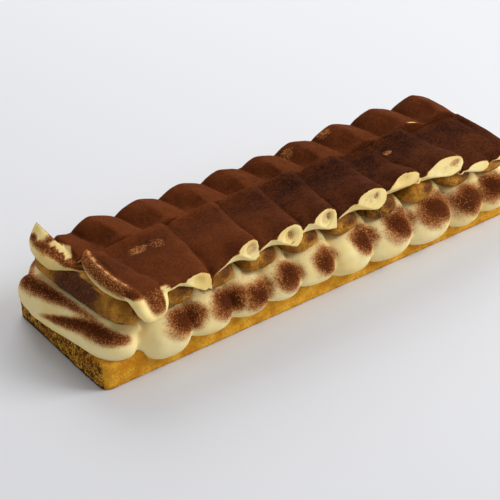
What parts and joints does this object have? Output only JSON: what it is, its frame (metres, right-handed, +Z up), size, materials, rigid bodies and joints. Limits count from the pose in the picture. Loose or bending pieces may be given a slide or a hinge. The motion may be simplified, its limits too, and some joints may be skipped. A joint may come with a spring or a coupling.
{
  "type": "tiramisu bar cake",
  "caption": "Long rectangular tiramisu: sponge base, piped mascarpone bed, crosswise soaked ladyfingers and rows of ruffled cream petals dusted with cocoa.",
  "frame": {"origin": "middle of the bar's footprint, on the plane of the sponge's underside", "axes": "+X along the bar, -Y out of the front long side, +Z up"},
  "size_m": [0.3136, 0.1032, 0.0623],
  "materials": {
    "sponge": "matte baked sponge, open crumb with browned spots",
    "cream": "soft satin mascarpone cream, specks of cocoa on top",
    "ladyfinger": "moist matte coffee-soaked biscuit",
    "cocoa_cream": "dry matte cocoa powder over cream, bare pale cream at the edges"
  },
  "bodies": {
    "root": {"sponge_base": "sponge", "cream_bed": "cream", "ladyfinger_01": "ladyfinger", "ladyfinger_02": "ladyfinger", "ladyfinger_03": "ladyfinger", "ladyfinger_04": "ladyfinger", "ladyfinger_05": "ladyfinger", "ladyfinger_06": "ladyfinger", "ladyfinger_07": "ladyfinger", "ladyfinger_08": "ladyfinger", "ladyfinger_09": "ladyfinger", "ladyfinger_10": "ladyfinger", "top_cream_front": "cocoa_cream", "top_cream_back": "cocoa_cream"}
  },
  "joints": []
}
